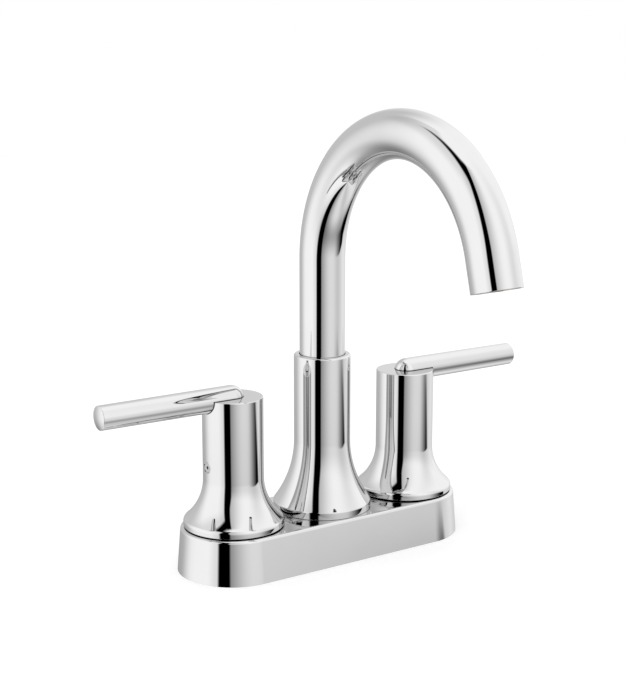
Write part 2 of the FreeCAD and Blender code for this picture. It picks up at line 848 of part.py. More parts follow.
def aerator_grid():
    """Honeycomb that straightens the stream."""
    outer = tube_bore_radius - outlet_ring_wall - aerator_wall
    bottom = aerator_inset + aerator_lip_thickness
    top = bottom + grid_thickness
    pitch = grid_cell + grid_web
    cell = hexagon(grid_cell, bottom, top)
    cells = []
    for row in range(-grid_rings, grid_rings + 1):
        for column in range(-grid_rings, grid_rings + 1):
            if abs(row + column) <= grid_rings:
                x = pitch * row * math.sqrt(3) / 2
                y = pitch * (column + row / 2)
                cells.append(moved(cell, x, y))
    return in_outlet(rod(outer, bottom, top).cut(cells))


def regulator_bottom():
    """Height of the flow regulator above the outlet's end face."""
    return aerator_inset + aerator_length - regulator_thickness


def flow_regulator():
    """Disc with a ring of metering holes."""
    outer = tube_bore_radius - outlet_ring_wall - aerator_wall
    bottom = regulator_bottom()
    disc = rod(outer, bottom, bottom + regulator_thickness)
    hole = rod(regulator_hole_radius, bottom, bottom + regulator_thickness)
    holes = all_round(moved(hole, regulator_pitch_radius), regulator_hole_count)
    return in_outlet(disc.cut(holes))


def mixing_chamber():
    """Open ring that spaces the grid from the flow regulator."""
    outer = tube_bore_radius - outlet_ring_wall - aerator_wall
    bottom = aerator_inset + aerator_lip_thickness + grid_thickness
    return in_outlet(ring(outer - aerator_wall, outer, bottom, regulator_bottom()))


def aerator_washer():
    """Rubber washer between the aerator and its seat."""
    outer = tube_bore_radius - outlet_ring_wall
    bottom = aerator_inset + aerator_length
    return in_outlet(ring(outer - outlet_seat_width, outer, bottom, bottom + aerator_washer_thickness))


def build_parts():
    """Every sub-part by its name."""
    parts = {
        "escutcheon": escutcheon(),
        "base_gasket": base_gasket(),
        "spout_post": spout_post(),
        "spout_seal_rings": spout_rings(),
        "spout_glide_ring": glide_ring(),
        "spout_foot_washer": foot_washer(),
        "spout_thrust_washer": thrust_washer(),
        "hub_nut": hub_nut(),
        "spout_hub": spout_hub(),
        "spout_bushing": spout_bushing(),
        "cover_lock_nuts": at_handles(lock_nut()),
        "bonnet_nuts": at_handles(bonnet_nut()),
        "mounting_washers": at_handles(mounting_washer()),
        "mounting_nuts": at_handles(mounting_nut()),
        "spout_tube": spout_tube(),
        "spout_collar": spout_collar(),
        "outlet_ring": outlet_ring(),
        "aerator_housing": aerator_housing(),
        "aerator_grid": aerator_grid(),
        "mixing_chamber": mixing_chamber(),
        "flow_regulator": flow_regulator(),
        "aerator_washer": aerator_washer(),
    }
    for name, side in (("hot", -1), ("cold", 1)):
        parts[name + "_valve_body"] = valve_body(side)
        parts[name + "_cross_pipe"] = cross_pipe(side)
        parts[name + "_seat_seal"] = seat_seal(side)
        parts[name + "_fixed_disc"] = fixed_disc(side)
        parts[name + "_cartridge_housing"] = cartridge_housing(side)
        parts[name + "_moving_disc"] = moving_disc(side)
        parts[name + "_stem"] = stem(side)
        parts[name + "_stem_ring"] = stem_ring(side)
        parts[name + "_handle"] = handle_casting(side)
        parts[name + "_set_screw"] = set_screw(side)
    return parts


os.makedirs("parts", exist_ok=True)
for part_name, part_shape in build_parts().items():
    part_shape.exportStep("parts/" + part_name + ".step")
    print(part_name, len(part_shape.Solids), part_shape.isValid(), round(part_shape.Volume, 1))
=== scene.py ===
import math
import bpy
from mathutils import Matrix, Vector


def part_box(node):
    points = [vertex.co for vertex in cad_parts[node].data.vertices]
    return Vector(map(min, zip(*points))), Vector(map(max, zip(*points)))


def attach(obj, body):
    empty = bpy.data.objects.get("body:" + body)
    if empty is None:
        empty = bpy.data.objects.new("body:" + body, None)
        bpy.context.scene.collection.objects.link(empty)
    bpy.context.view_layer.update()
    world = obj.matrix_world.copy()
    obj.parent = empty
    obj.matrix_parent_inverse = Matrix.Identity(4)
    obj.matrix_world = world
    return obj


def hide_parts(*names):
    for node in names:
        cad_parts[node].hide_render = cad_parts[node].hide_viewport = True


bl_info = {
    "name": "Centerset Basin Tap",
    "version": (1, 0, 0),
    "blender": (4, 5, 0),
    "location": "View3D > Sidebar > Basin Tap",
    "description": "Models the plated pieces of a two-handle basin tap, with finishes and a studio",
    "category": "Add Mesh",
}

import bpy
from bpy.props import FloatProperty, FloatVectorProperty, IntProperty, PointerProperty
from mathutils import Vector

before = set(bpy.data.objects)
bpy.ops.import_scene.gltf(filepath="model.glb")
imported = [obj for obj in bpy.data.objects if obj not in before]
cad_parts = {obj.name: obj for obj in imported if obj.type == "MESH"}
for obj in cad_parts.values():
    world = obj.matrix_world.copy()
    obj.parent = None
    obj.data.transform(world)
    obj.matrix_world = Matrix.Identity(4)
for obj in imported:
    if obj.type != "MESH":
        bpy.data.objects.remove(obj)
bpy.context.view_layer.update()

MM = 0.001
ACROSS = Vector((1, 0, 0))
DEPTH = Vector((0, 1, 0))
UP = Vector((0, 0, 1))
ZERO = Vector((0, 0, 0))
RIGHT_ANGLE = math.pi / 2
HALF_TURN = math.pi
FULL_TURN = 2 * math.pi
TOUCHING = 0.002 * MM
ROUND_STEPS = 96

cover_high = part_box("escutcheon")[1]
handle_low, handle_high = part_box("cold_handle")
hub_low, hub_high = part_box("spout_hub")
tube_low, tube_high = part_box("spout_tube")
# The cover's ends are half rounds about the axes of the handles
HALF_SPACING = cover_high.x - cover_high.y


# Properties


def length(name, description, default):
    """Property for a length, whose default is given in millimetres."""
    return FloatProperty(
        name=name, description=description, default=default * MM, min=0, unit="LENGTH", precision=5)


def angle(name, description, default):
    """Property for an angle, whose default is given in degrees."""
    return FloatProperty(
        name=name, description=description, default=math.radians(default), subtype="ANGLE", unit="ROTATION")


def steps(name, default):
    """Property for a number of steps."""
    return IntProperty(name=name, default=default, min=2)


def level(name, description, default):
    """Property for a plain number from nothing upwards."""
    return FloatProperty(name=name, description=description, default=default, min=0)


def colour(name, description, default):
    """Property for a colour."""
    return FloatVectorProperty(
        name=name, description=description, default=default, min=0, max=1, size=3, subtype="COLOR")


def spot(name, description, default):
    """Property for a place, whose default is given in millimetres."""
    return FloatVectorProperty(
        name=name, description=description, default=[part * MM for part in default], size=3,
        subtype="TRANSLATION", unit="LENGTH")


class CoverSizes(bpy.types.PropertyGroup):
    """Sizes of the long oval cover under the handles."""

    foot_radius: length("Foot radius", "Radius of the round ends at the deck", 27.25)
    draft: angle("Draft", "Lean of the sides", 4.6)
    edge_radius: length("Edge radius", "Rounding round the top", 1.6)
    wall: length("Wall", "Thickness of the casting", 2.4)
    ledge_width: length("Ledge width", "Width of the step that holds the gasket", 1.0)
    ledge_height: length("Ledge height", "Height of the step that holds the gasket", 2.0)
    neck_hole: length("Neck hole", "Radius of the holes for the two valve necks", 12.3)
    post_hole: length("Post hole", "Radius of the hole for the spout post", 13.0)
    end_steps: steps("Steps round each round end", 96)
    edge_steps: steps("Steps in the top rounding", 10)


class HandleSizes(bpy.types.PropertyGroup):
    """Sizes of a flared handle and its lever."""

    barrel_radius: length("Barrel radius", "Radius of the upright barrel", 14.45)
    flange_radius: length("Flange radius", "Radius at the foot", 24.1)
    flare_radius: length("Flare radius", "Hollow curve between the barrel and the foot", 25.4)
    lip_radius: length("Lip radius", "Rounding over the foot", 2.2)
    inner_lip: length("Inner lip", "Rounding inside the foot", 0.6)
    flare_top: length("Flare top", "Height where the flare starts", 45.0)
    top_edge: length("Top edge", "Rounding of the barrel's top edge", 0.5)
    skirt_edge: length("Skirt edge", "Rounding of the foot's lower edge", 0.4)
    wall: length("Wall", "Thickness of the casting", 2.4)
    cavity_top: length("Cavity top", "Height of the hollow's roof", 46.0)
    stem_bore: length("Stem bore", "Radius of the bore for the stem", 3.94)
    stem_top: length("Stem top", "Height of the end of the bore", 66.3)
    lever_height: length("Lever height", "Height of the lever's centre line", 83.8)
    lever_overrun: length("Lever overrun", "How far the lever runs on behind the barrel's axis", 5.0)
    lever_length: length("Lever length", "From the barrel's axis to the rim of the lever's end", 68.7)
    root_radius: length("Root radius", "Radius of the lever over the barrel", 5.85)
    ball_rise: length("Ball rise", "How far the lever's ball end stands over the barrel's top", 5.4)
    tip_radius: length("Tip radius", "Radius of the lever near its end", 5.65)
    tip_edge: length("Tip edge", "Rounding of the lever's end", 0.35)
    tip_dome: length("Tip dome", "Rise of the lever's end face", 0.8)
    screw_height: length("Screw height", "Height of the grub screw's hole", 51.7)
    screw_hole: length("Screw hole", "Radius of the threaded hole", 2.52)
    recess_radius: length("Recess radius", "Radius of the recess outside the screw", 2.9)
    recess_start: length("Recess start", "Where the recess starts, from the barrel's axis", 14.02)
    screw_radius: length("Screw radius", "Radius of the grub screw", 2.5)
    screw_end: length("Screw end", "Where the grub screw ends, from the barrel's axis", 13.98)
    screw_edge: length("Screw edge", "Chamfer of the grub screw's ends", 0.2)
    key_width: length("Key width", "Width of the grub screw's hexagonal socket", 1.6)
    key_depth: length("Key depth", "Depth of the grub screw's hexagonal socket", 1.6)
    # Painted shade: width of the dark line painted along the crease where the lever meets the barrel
    crease_shade_width: length("Crease width", "Width of the dark crease beside the foot of the lever", 0.45)
    turn_steps: steps("Steps round the barrel", 160)
    lever_steps: steps("Steps round the lever", 96)
    screw_steps: steps("Steps round the grub screw", 64)
    flare_steps: steps("Steps in the flare's hollow curve", 28)
    lip_steps: steps("Steps in the rounding over the foot", 18)
    inner_flare_steps: steps("Steps in the same curve inside", 14)
    skirt_steps: steps("Steps in the roundings under and inside the foot", 4)
    edge_steps: steps("Steps in the roundings of the barrel's top and the lever's end", 6)
    ball_steps: steps("Steps in the lever's ball end", 20)
    dome_steps: steps("Steps in the lever's end face", 10)


class HubSizes(bpy.types.PropertyGroup):
    """Sizes of the flared hub round the foot of the spout."""

    barrel_radius: length("Barrel radius", "Radius of the upright part", 13.82)
    flange_radius: length("Flange radius", "Radius at the foot", 24.1)
    flare_radius: length("Flare radius", "Hollow curve between the upright part and the foot", 51.7)
    lip_radius: length("Lip radius", "Rounding over the foot", 1.2)
    flare_top: length("Flare top", "Height where the flare starts", 56.0)
    top_edge: length("Top edge", "Rounding of the top rim", 0.9)
    skirt_edge: length("Skirt edge", "Rounding of the foot's lower edge", 0.4)
    lip_bore: length("Lip bore", "Radius of the bore in the top lip", 11.32)
    lip_bottom: length("Lip bottom", "Height of the underside of the top lip", 95.55)
    bushing_bore: length("Bushing bore", "Radius of the bore for the bushing", 12.52)
    thrust_height: length("Thrust height", "Height where the bushing's bore ends", 40.76)
    sleeve_bore: length("Sleeve bore", "Radius of the bore over the collar", 13.6)
    nut_top: length("Nut top", "Height of the top of the nut's seat", 26.8)
    nut_bore: length("Nut bore", "Radius of the nut's seat", 16.2)
    turn_steps: steps("Steps round the hub", 160)
    edge_steps: steps("Steps in the rounding of the top rim", 8)
    flare_steps: steps("Steps in the flare's hollow curve", 32)
    lip_steps: steps("Steps in the rounding over the foot", 16)
    skirt_steps: steps("Steps in the rounding of the foot's lower edge", 4)


class SpoutSizes(bpy.types.PropertyGroup):
    """Sizes of the bent tube and of the aerator in its outlet."""

    tube_radius: length("Tube radius", "Outside radius of the tube", 11.0)
    tube_wall: length("Tube wall", "Thickness of the tube's wall", 1.15)
    bend_radius: length("Bend radius", "Radius of the bend's centre line", 62.0)
    bend: angle("Bend", "How far the tube turns over", 165.15)
    outlet_length: length("Outlet length", "Straight length after the bend", 14.4)
    mouth_edge: length("Mouth edge", "Rounding of the outlet's rim", 0.25)
    aerator_radius: length("Aerator radius", "Outside radius of the aerator's cup", 8.95)
    aerator_wall: length("Aerator wall", "Thickness of the cup's wall", 0.9)
    aerator_inset: length("Aerator inset", "How far the cup sits in from the outlet", 0.9)
    aerator_length: length("Aerator length", "Length of the cup", 10.0)
    mouth_radius: length("Mouth radius", "Radius of the cup's mouth", 7.3)
    notch_width: length("Notch width", "Width of the notches for the aerator's key", 2.2)
    notch_depth: length("Notch depth", "Depth of the notches for the aerator's key", 1.0)
    turn_steps: steps("Steps round the tube", 128)
    bend_steps: steps("Steps along the bend", 160)
    edge_steps: steps("Steps in the roundings of the outlet and the cup", 3)


class FinishColours(bpy.types.PropertyGroup):
    """Colours of the finishes."""

    chrome: colour("Chrome", "Bright plate", (0.884, 0.884, 0.884))
    chrome_haze: colour("Chrome haze", "Plate where the polish is a little softer", (0.872, 0.872, 0.872))
    # Painted shade: the dark colour painted along the crease where the lever meets the barrel
    chrome_crease_shade: colour("Chrome crease", "Plate in the crease beside the lever", (0.09, 0.09, 0.09))
    aerator: colour("Aerator plate", "Thinner plate on the aerator", (0.82, 0.825, 0.83))
    brass: colour("Brass", "Freshly turned brass", (0.78, 0.61, 0.33))
    brass_dull: colour("Dull brass", "Brass that air has dulled", (0.6, 0.44, 0.22))
    copper: colour("Copper", "Clean copper pipe", (0.78, 0.46, 0.31))
    copper_dull: colour("Dull copper", "Copper that air has browned", (0.52, 0.28, 0.18))
    ceramic: colour("Ceramic", "Fired and ground ceramic", (0.93, 0.92, 0.89))
    ceramic_speck: colour("Ceramic specks", "Fine specks in the ceramic", (0.8, 0.78, 0.73))
    white_plastic: colour("White plastic", "Moulded white plastic", (0.9, 0.9, 0.88))
    white_plastic_shade: colour("White plastic shade", "The same at its flow marks", (0.82, 0.82, 0.79))
    black_plastic: colour("Black plastic", "Moulded black plastic", (0.06, 0.06, 0.065))
    black_plastic_shade: colour("Black plastic shade", "The same at its flow marks", (0.035, 0.035, 0.04))
    steel: colour("Steel", "Plain bright steel", (0.63, 0.64, 0.66))
    steel_dull: colour("Dull steel", "Steel with a film of grease", (0.47, 0.48, 0.5))
    screw: colour("Screw steel", "Bright stainless steel", (0.86, 0.86, 0.865))
    screw_dull: colour("Dull screw steel", "The same steel where it is less polished", (0.8, 0.8, 0.805))
    rubber: colour("Rubber", "Black rubber", (0.045, 0.045, 0.05))
    rubber_bloom: colour("Rubber bloom", "Pale bloom on the rubber", (0.1, 0.1, 0.105))
    foam: colour("Foam", "Grey closed-cell foam", (0.34, 0.34, 0.35))
    foam_cell: colour("Foam cells", "The bottoms of the foam's open cells", (0.17, 0.17, 0.18))


class StudioSettings(bpy.types.PropertyGroup):
    """Levels of the studio's light, its floor and its camera."""

    room_level: level("Room level", "Light that the room gives to plain surfaces", 0.72)
    second_look: level("Second look", "Share of the room's light left at each further mirroring", 0.75)
    sun_level: level("Sun level", "Strength of the one soft lamp", 0.7)
    sun_spread: angle("Sun spread", "Apparent width of the soft lamp", 50)
    floor_colour: colour("Floor colour", "Pale floor", (0.86, 0.86, 0.86))
    floor_grain: colour("Floor grain", "Faint grain in the floor", (0.8523, 0.8523, 0.8523))
    floor_grain_size: length("Floor grain size", "Width of the grain's blotches", 30)
    floor_glow: level("Floor glow", "What the camera sees of the floor beside its own light", 0.34)
    floor_radius: FloatProperty(
        name="Floor radius", description="Size of the round floor", default=2.5, min=0.5, unit="LENGTH")
    floor_thickness: length("Floor thickness", "Depth of the floor's slab", 20)
    lamp_place: spot("Lamp place", "Where the soft lamp stands", (-600, -500, 1200))
    lamp_aim: spot("Lamp aim", "The point that the soft lamp faces", (0, 0, 100))
    camera_place: spot("Camera place", "Where the camera stands", (-377.9, -552.4, 245.8))
    camera_aim: spot("Camera aim", "The point in the middle of the picture", (-5.69, 0, 101.08))
    lens: FloatProperty(name="Lens", description="Focal length in millimetres", default=72.755, min=1)


# Modelling by hand


def drop_selection():
    """Leaves edit mode with nothing selected, so that a tool acts on its own piece alone."""
    if bpy.context.mode != "OBJECT":
        bpy.ops.object.mode_set(mode="OBJECT")
    bpy.ops.object.select_all(action="DESELECT")


def take(piece):
    """Selects a piece alone and makes it the active one."""
    drop_selection()
    piece.select_set(True)
    bpy.context.view_layer.objects.active = piece


def edit(piece):
    """Opens a piece in edit mode with nothing in it selected."""
    take(piece)
    bpy.ops.object.mode_set(mode="EDIT")
    bpy.ops.mesh.select_mode(type="VERT")
    bpy.ops.mesh.select_all(action="DESELECT")


def select_points(piece, wanted):
    """Selects in edit mode the points whose place passes a test, with what lies between them."""
    bpy.ops.object.mode_set(mode="OBJECT")
    for point in piece.data.vertices:
        point.select = wanted(point.co)
    bpy.ops.object.mode_set(mode="EDIT")
    bpy.ops.mesh.select_mode(type="VERT")


def close_and_face_out(piece):
    """Merges doubled points and turns every face outwards."""
    edit(piece)
    bpy.ops.mesh.select_all(action="SELECT")
    bpy.ops.mesh.remove_doubles(threshold=TOUCHING)
    bpy.ops.mesh.normals_make_consistent(inside=False)
    bpy.ops.object.mode_set(mode="OBJECT")


def apply_modifier(piece, kind, **settings):
    """Adds a modifier to a piece, sets it and applies it."""
    take(piece)
    bpy.ops.object.modifier_add(type=kind)
    modifier = piece.modifiers[-1]
    for name, value in settings.items():
        setattr(modifier, name, value)
    bpy.ops.object.modifier_apply(modifier=modifier.name)


def combine(piece, tool, operation):
    """Joins a tool to a piece or cuts it away, deletes the tool and closes the new edges."""
    apply_modifier(piece, "BOOLEAN", operation=operation, object=tool, solver="EXACT")
    bpy.data.objects.remove(tool)
    close_and_face_out(piece)


def smooth(piece):
    """Smooth shading that keeps sharp edges and leaves flat faces flat."""
    take(piece)
    bpy.ops.object.shade_smooth_by_angle(angle=math.radians(30), keep_sharp_edges=True)
    apply_modifier(piece, "WEIGHTED_NORMAL", mode="FACE_AREA", keep_sharp=True)


def place(piece, turn, move):
    """Turns and moves a piece, and puts its place in its mesh."""
    take(piece)
    piece.rotation_euler = turn
    piece.location = move
    bpy.ops.object.transform_apply(location=True, rotation=True, scale=True)


def cutter(radius, start, end):
    """Round tool between two points, to cut holes with."""
    run = Vector(end) - Vector(start)
    drop_selection()
    bpy.ops.mesh.primitive_cylinder_add(
        vertices=ROUND_STEPS, radius=radius, depth=run.length,
        location=(Vector(start) + Vector(end)) / 2, rotation=run.to_track_quat("Z", "Y").to_euler())
    return bpy.context.object


def spin(centre, axis, sweep, count):
    """Spins what is selected round an axis, anticlockwise for a positive sweep.

    The tool's own angle runs clockwise.
    """
    bpy.ops.mesh.spin(steps=count, angle=-sweep, center=centre, axis=axis)


def draw_out(move):
    """Extrudes what is selected along a move."""
    bpy.ops.mesh.extrude_region_move(TRANSFORM_OT_translate={"value": move})


class Pen:
    """Draws the section of a turned piece, point by point, in a plane through the piece's axis.

    A stop is a distance out from the axis and a distance along it.
    """

    def __init__(self, name, start, origin=ZERO, outward=ACROSS, along=UP):
        self.origin = Vector(origin)
        self.outward = outward
        self.along = along
        self.side = outward.cross(along)
        self.tip = self.at(start)
        drop_selection()
        bpy.ops.mesh.primitive_plane_add(size=MM, location=self.tip)
        bpy.ops.object.transform_apply(location=True, rotation=False, scale=False)
        self.piece = bpy.context.object
        self.piece.name = name
        self.piece.data.name = name
        bpy.ops.object.mode_set(mode="EDIT")
        bpy.ops.mesh.select_mode(type="VERT")
        bpy.ops.mesh.select_all(action="SELECT")
        bpy.ops.mesh.merge(type="CENTER")
        bpy.ops.mesh.select_all(action="SELECT")

    def at(self, stop):
        """Place of a stop."""
        return self.origin + self.outward * stop[0] + self.along * stop[1]

    def lines(self, *stops):
        """Extrudes the last point straight to each stop in turn."""
        for stop in stops:
            end = self.at(stop)
            bpy.ops.mesh.extrude_vertices_move(TRANSFORM_OT_translate={"value": end - self.tip})
            self.tip = end

    def arc(self, centre, sweep, count):
        """Spins the last point round a centre. A positive sweep turns from outward to along."""
        middle = self.at(centre)
        spin(middle, self.side, sweep, count)
        arm = self.tip - middle
        sine = self.side.cross(arm) * math.sin(sweep)
        self.tip = middle + arm * math.cos(sweep) + sine

    def turn(self, count, sweep=FULL_TURN):
        """Spins the whole section about the axis."""
        bpy.ops.mesh.select_all(action="SELECT")
        spin(self.origin, self.along, sweep, count)

    def finish(self):
        """Closes the seam and the poles, and gives the piece."""
        close_and_face_out(self.piece)
        return self.piece


class Flare:
    """The hollow curve and the rounded lip between an upright barrel and its wider foot."""

    def __init__(self, barrel, flange, curve, lip, top):
        reach = curve + lip
        run = reach - (flange - barrel)
        drop = math.sqrt(reach ** 2 - run ** 2)
        self.lip_height = top - drop
        self.slope = math.atan2(drop, run)
        self.curve_centre = (barrel + curve, top)
        self.lip_centre = (flange - lip, self.lip_height)

    def down(self, pen, curve_steps, lip_steps):
        """Draws the curve from the barrel to the lip."""
        pen.arc(self.curve_centre, self.slope, curve_steps)
        pen.arc(self.lip_centre, -self.slope, lip_steps)

    def up(self, pen, curve_steps, lip_steps):
        """Draws the curve from the lip to the barrel."""
        pen.arc(self.lip_centre, self.slope, lip_steps)
        pen.arc(self.curve_centre, -self.slope, curve_steps)


def draw_flared_side(pen, sizes, top, foot):
    """Draws the outside of a flared barrel, from its top rim down to the underside of its foot."""
    rim = sizes.barrel_radius - sizes.top_edge
    skirt = sizes.flange_radius - sizes.skirt_edge
    flare = Flare(
        sizes.barrel_radius, sizes.flange_radius, sizes.flare_radius, sizes.lip_radius, sizes.flare_top)
    pen.lines((rim, top))
    pen.arc((rim, top - sizes.top_edge), -RIGHT_ANGLE, sizes.edge_steps)
    pen.lines((sizes.barrel_radius, sizes.flare_top))
    flare.down(pen, sizes.flare_steps, sizes.lip_steps)
    pen.lines((sizes.flange_radius, foot + sizes.skirt_edge))
    pen.arc((skirt, foot + sizes.skirt_edge), -RIGHT_ANGLE, sizes.skirt_steps)


# Finishes


class Wire:
    """A socket of a node, written like a number: sums of wires add the Math nodes that work them out."""

    def __init__(self, graph, socket):
        self.graph = graph
        self.socket = socket

    def math(self, operation, *values):
        """Math node with these values."""
        return self.graph.add("ShaderNodeMath", {"operation": operation}, dict(enumerate(values)))

    def out(self, name):
        """Another output of the same node."""
        return Wire(self.graph, self.socket.node.outputs[name])

    def __add__(self, other):
        return self.math("ADD", self, other)

    def __radd__(self, other):
        return self.math("ADD", other, self)

    def __sub__(self, other):
        return self.math("SUBTRACT", self, other)

    def __rsub__(self, other):
        return self.math("SUBTRACT", other, self)

    def __mul__(self, other):
        return self.math("MULTIPLY", self, other)

    def __rmul__(self, other):
        return self.math("MULTIPLY", other, self)

    def __rpow__(self, other):
        return self.math("POWER", other, self)

    def larger(self, other):
        """The larger of this and another value."""
        return self.math("MAXIMUM", self, other)

    def past(self, start):
        """How far this lies past a start, and 0 before it."""
        return (self - start).larger(0)

    def root(self):
        """Square root."""
        return self.math("SQRT", self)

    def __neg__(self):
        return self.math("MULTIPLY", self, -1)

    def __abs__(self):
        return self.math("ABSOLUTE", self)


class Graph:
    """The nodes of one finish, or of the room."""

    def __init__(self, owner):
        owner.use_nodes = True
        self.tree = owner.node_tree
        self.tree.nodes.clear()

    def add(self, kind, settings=None, inputs=None, output=0):
        """Adds a node, sets it, gives its inputs their values or links, and hands back one output."""
        node = self.tree.nodes.new(kind)
        for name, value in (settings or {}).items():
            setattr(node, name, value)
        for name, value in (inputs or {}).items():
            if isinstance(value, Wire):
                self.tree.links.new(value.socket, node.inputs[name])
            else:
                node.inputs[name].default_value = value
        return Wire(self, node.outputs[output]) if node.outputs else None

    def parts(self, vector):
        """The three parts of a vector."""
        split = self.add("ShaderNodeSeparateXYZ", None, {"Vector": vector})
        return split.out("X"), split.out("Y"), split.out("Z")

    def fade(self, value, nothing, full):
        """Smooth change from 0, where the value is at nothing, to 1, where it is at full."""
        settings = {"interpolation_type": "SMOOTHSTEP", "clamp": True}
        inputs = {"Value": value, "From Min": nothing, "From Max": full}
        return self.add("ShaderNodeMapRange", settings, inputs)

    def band(self, value, centre, core, edge):
        """1 as far from the centre as the core, fading to 0 as far from it as the edge."""
        return self.fade(abs(value - centre), edge, core)

    def noise(self, place, size, detail, stretch=None):
        """Soft noise from 0 to 1, with blotches of a size in metres. Stretch multiplies each direction."""
        if stretch:
            inputs = {"Vector": place, "Scale": stretch}
            place = self.add("ShaderNodeMapping", {"vector_type": "POINT"}, inputs)
        inputs = {"Vector": place, "Scale": 1 / size, "Detail": detail}
        return self.add("ShaderNodeTexNoise", None, inputs)

    def mix(self, factor, first, second):
        """Mix of two colours, each a wire or its three parts."""
        first, second = (value if isinstance(value, Wire) else (*value, 1) for value in (first, second))
        # The sockets of the colour mix: the factor, the two colours and, as the third output, the result
        return self.add("ShaderNodeMix", {"data_type": "RGBA"}, {0: factor, 6: first, 7: second}, 2)

    def bump(self, height, distance):
        """Relief of a given depth in metres."""
        return self.add("ShaderNodeBump", None, {"Height": height, "Distance": distance})


def surface(name, paint):
    """Material with one Principled surface, whose inputs a paint function gives.

    Its name differs from the slot's, which the frame gives to a flat material of its own.
    """
    finish = name + "_finish"
    material = bpy.data.materials.get(finish)
    if material:
        return material
    material = bpy.data.materials.new(finish)
    graph = Graph(material)
    position = graph.add("ShaderNodeTexCoord").out("Object")
    shader = graph.add("ShaderNodeBsdfPrincipled", None, paint(graph, position))
    graph.add("ShaderNodeOutputMaterial", None, {"Surface": shader})
    return material


def chrome_plate(name, bright, haze, polish, crease=None):
    """Mirror plate with the faint waviness of the casting under it and a soft, uneven polish.

    A crease function gives 1 along a joint between two forms, where painted shade darkens the plate's
    colour.
    """

    def paint(graph, position):
        patches = graph.noise(position, size=14 * MM, detail=3)
        wipes = graph.noise(position, size=0.9 * MM, detail=3)
        waviness = graph.noise(position, size=9 * MM, detail=1)
        plate = graph.mix(graph.fade(patches, nothing=0.35, full=0.75), bright, haze)
        # Painted shade: the crease beside the lever is darkened in the plate's colour
        if crease:
            crease_shade_colour = bpy.context.scene.tap_colours.chrome_crease_shade
            plate = graph.mix(crease(graph, position), plate, crease_shade_colour)
        from_wipes = 0.0015 * wipes
        from_patches = 0.002 * patches
        return {
            "Base Color": plate,
            "Metallic": 1.0,
            "Roughness": polish + from_wipes + from_patches,
            "Normal": graph.bump(waviness, distance=0.003 * MM),
        }

    return surface(name, paint)


def lever_crease_shade(graph, position):
    """Mask of the painted shade in the crease: 1 within a third of the crease's width of where the lever
    meets the barrel, 0 beyond the width.
    """
    sizes = bpy.context.scene.tap_handle
    x, y, z = graph.parts(position)
    out = abs(x) - HALF_SPACING
    from_side = (out * out + y * y).root() - sizes.barrel_radius
    from_barrel = abs(from_side.larger(z - handle_barrel_top()))
    behind_ball = (sizes.root_radius - sizes.lever_overrun - out).larger(0)
    rise = z - sizes.lever_height
    from_lever = abs((behind_ball * behind_ball + y * y + rise * rise).root() - sizes.root_radius)
    return graph.fade(from_barrel.larger(from_lever), sizes.crease_shade_width, sizes.crease_shade_width / 3)


def bare_metal(name, clean, dull, tool_marks, roughness):
    """Turned or pressed metal, with the rings that the tool left and patches where air has dulled it."""

    def paint(graph, position):
        z = graph.parts(position)[2]
        patches = graph.noise(position, size=6 * MM, detail=4)
        inputs = {"W": z, "Scale": 1 / tool_marks, "Detail": 2.0}
        rings = graph.add("ShaderNodeTexNoise", {"noise_dimensions": "1D"}, inputs)
        from_patches = 0.14 * patches
        from_rings = 0.06 * rings
        return {
            "Base Color": graph.mix(graph.fade(patches, nothing=0.42, full=0.7), clean, dull),
            "Metallic": 1.0,
            "Roughness": roughness + from_patches + from_rings,
            "Normal": graph.bump(rings, distance=0.02 * MM),
        }

    return surface(name, paint)


def moulded(name, base, shade, roughness, grain):
    """Moulded plastic or rubber with a fine grain and faint flow marks."""

    def paint(graph, position):
        flow = graph.noise(position, size=5 * MM, detail=3, stretch=(1, 1, 0.3))
        texture = graph.noise(position, size=grain, detail=2)
        from_texture = 0.1 * texture
        return {
            "Base Color": graph.mix(graph.fade(flow, nothing=0.4, full=0.72), base, shade),
            "Roughness": roughness + from_texture,
            "Normal": graph.bump(texture, distance=0.02 * MM),
        }

    return surface(name, paint)


POLISH = 0.0008

# For each slot its maker, two colours and the maker's other values, in the order that it takes them
FINISHES = {
    "polished_chrome": (chrome_plate, "chrome", "chrome_haze", POLISH),
    # The handles' chrome carries the painted shade along the crease beside the lever
    "handle_chrome": (chrome_plate, "chrome", "chrome_haze", POLISH, lever_crease_shade),
    "aerator_chrome": (chrome_plate, "aerator", "aerator", 0.12),
    "turned_brass": (bare_metal, "brass", "brass_dull", 0.3 * MM, 0.2),
    "copper_pipe": (bare_metal, "copper", "copper_dull", 4 * MM, 0.28),
    "steel_washer": (bare_metal, "steel", "steel_dull", 0.5 * MM, 0.3),
    "screw_steel": (bare_metal, "screw", "screw_dull", 0.2 * MM, 0.05),
    "fired_ceramic": (moulded, "ceramic", "ceramic_speck", 0.16, 0.4 * MM),
    "white_plastic": (moulded, "white_plastic", "white_plastic_shade", 0.4, 0.25 * MM),
    "black_plastic": (moulded, "black_plastic", "black_plastic_shade", 0.42, 0.3 * MM),
    "black_rubber": (moulded, "rubber", "rubber_bloom", 0.6, 0.2 * MM),
    "grey_foam": (moulded, "foam", "foam_cell", 0.8, 0.8 * MM),
}


def coat(piece, slot):
    """Gives a piece the finish of one of the record's slots, or the handles' own."""
    maker, first, second, *values = FINISHES[slot]
    colours = bpy.context.scene.tap_colours
    material = maker(slot, getattr(colours, first), getattr(colours, second), *values)
    piece.data.materials.clear()
    piece.data.materials.append(material)


# Operators


